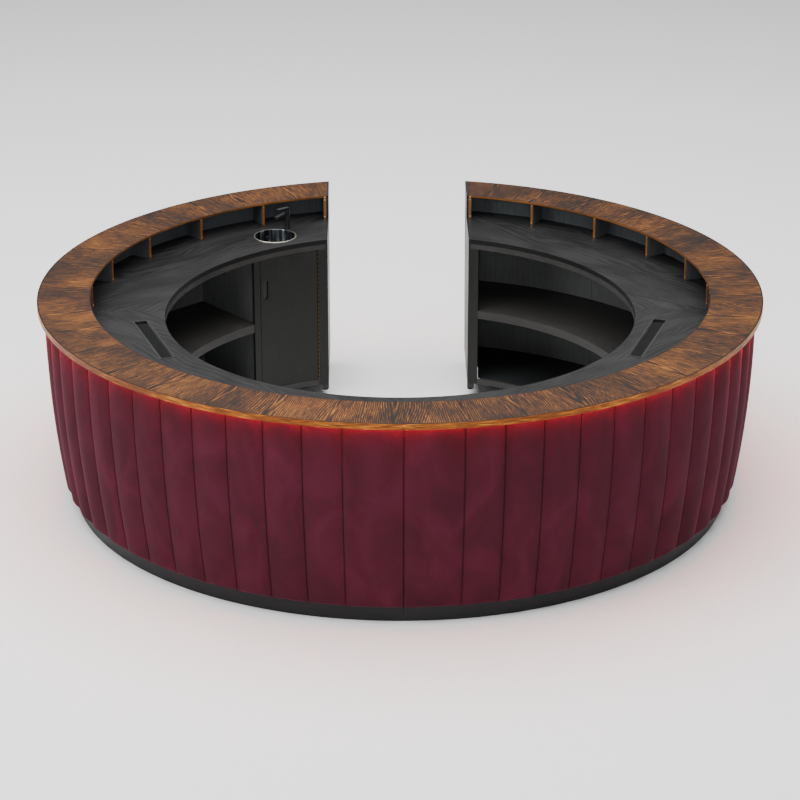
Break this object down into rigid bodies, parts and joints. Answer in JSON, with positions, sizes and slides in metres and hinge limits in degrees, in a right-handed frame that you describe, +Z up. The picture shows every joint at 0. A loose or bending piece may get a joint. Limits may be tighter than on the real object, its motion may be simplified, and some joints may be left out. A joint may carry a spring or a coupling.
{
  "type": "round bar counter",
  "caption": "Round ring-shaped bar counter in quarter modules, with a channelled velvet front, a wood bar top, a black staff worktop, cubbies, a sink, a tap and a staff entry.",
  "frame": {"origin": "centre of the ring on the floor; the bounding box's bottom centre is 24 mm towards -Y of it, because the entry cuts the rear of the ring", "axes": "+Z up, +Y from the ring's centre to the middle of the staff entry, +X to the right of someone who stands in front and faces the entry"},
  "size_m": [4, 3.9548, 1.15],
  "materials": {
    "walnut_veneer": "open-grain dark stained veneer, satin oil",
    "lipping_wood": "orange-brown stained hardwood edge, satin",
    "black_oak_veneer": "black stained veneer, satin lacquer",
    "velvet": "burgundy upholstery velvet in upright channels",
    "plywood": "bare birch plywood",
    "black_stained_board": "black stained board, matt",
    "plinth_board": "black laminate plinth, satin",
    "charcoal_lacquer": "charcoal lacquered veneer, satin",
    "black_coated_steel": "black powder coat, satin",
    "brass": "satin brass",
    "stainless_steel": "brushed stainless steel with a polished rim",
    "zinc_steel": "zinc plated steel",
    "white_plastic": "moulded white plastic",
    "matt_black_tap": "matt black coating",
    "black_plastic": "moulded black plastic",
    "aluminium_profile": "extruded, satin",
    "red_diffuser": "frosted red light diffuser",
    "driver_case": "moulded white plastic"
  },
  "bodies": {
    "counter": {"bar_top_front_left": "walnut_veneer", "bar_top_front_right": "walnut_veneer", "bar_top_rear_left": "walnut_veneer", "bar_top_rear_right": "walnut_veneer", "bar_lipping": "lipping_wood", "worktop_front_left": "black_oak_veneer", "worktop_front_right": "black_oak_veneer", "worktop_rear_left": "black_oak_veneer", "worktop_rear_right": "black_oak_veneer", "velvet_front_left": "velvet", "velvet_front_right": "velvet", "velvet_rear_left": "velvet", "velvet_rear_right": "velvet", "outer_skins": "plywood", "wall_ribs": "plywood", "back_panel_front_left": "black_stained_board", "back_panel_front_right": "black_stained_board", "back_panel_rear_left": "black_stained_board", "back_panel_rear_right": "black_stained_board", "plinth_front_left": "plinth_board", "plinth_front_right": "plinth_board", "plinth_rear_left": "plinth_board", "plinth_rear_right": "plinth_board", "base_boards": "black_stained_board", "carcass_partitions": "black_stained_board", "carcass_rails": "charcoal_lacquer", "service_panels": "black_stained_board", "end_panel_left": "charcoal_lacquer", "end_panel_right": "charcoal_lacquer", "end_stile_left": "charcoal_lacquer", "end_stile_right": "charcoal_lacquer", "foot_blocks": "charcoal_lacquer", "levelling_feet": "black_plastic", "module_bolts": "zinc_steel", "corner_bracket": "zinc_steel", "mid_shelf_left": "charcoal_lacquer", "mid_shelf_right": "charcoal_lacquer", "door_stile": "charcoal_lacquer", "hinge_leaf_frame": "brass", "hinge_pin": "brass", "sink_bowl": "stainless_steel", "sink_waste": "stainless_steel", "sink_trap": "white_plastic", "tap_body": "matt_black_tap", "supply_hoses": "zinc_steel", "drip_tray_left": "black_coated_steel", "drip_tray_right": "black_coated_steel", "led_profile": "aluminium_profile", "led_diffuser": "red_diffuser", "led_driver": "driver_case", "cubby_dividers": "black_stained_board", "divider_strips": "lipping_wood", "divider_screws": "brass"},
    "door": {"door": "charcoal_lacquer", "door_grip": "black_coated_steel", "hinge_leaf_door": "brass"},
    "tap_cap": {"tap_cartridge": "matt_black_tap"},
    "lever": {"tap_lever": "matt_black_tap"},
    "grate_left": {"drip_grate_left": "black_coated_steel"},
    "grate_right": {"drip_grate_right": "black_coated_steel"}
  },
  "joints": [
    {"name": "door_swing", "type": "hinge", "parent": "counter", "child": "door", "pos_m": [-0.48189, 1.20954, 0.535], "axis": [0, 0, 1], "range_deg": [0, 110]},
    {"name": "tap_swivel", "type": "hinge", "parent": "counter", "child": "tap_cap", "pos_m": [-0.66986, 1.44972, 1.129], "axis": [0, 0, 1], "range_deg": [-45, 45]},
    {"name": "lever_lift", "type": "hinge", "parent": "tap_cap", "child": "lever", "pos_m": [-0.66116, 1.45798, 1.1369], "axis": [-0.6884, 0.7254, 0], "range_deg": [0, 20]},
    {"name": "grate_left_lift", "type": "slide", "parent": "counter", "child": "grate_left", "axis": [0, 0, 1], "range_m": [0, 0.06]},
    {"name": "grate_right_lift", "type": "slide", "parent": "counter", "child": "grate_right", "axis": [0, 0, 1], "range_m": [0, 0.06]}
  ]
}
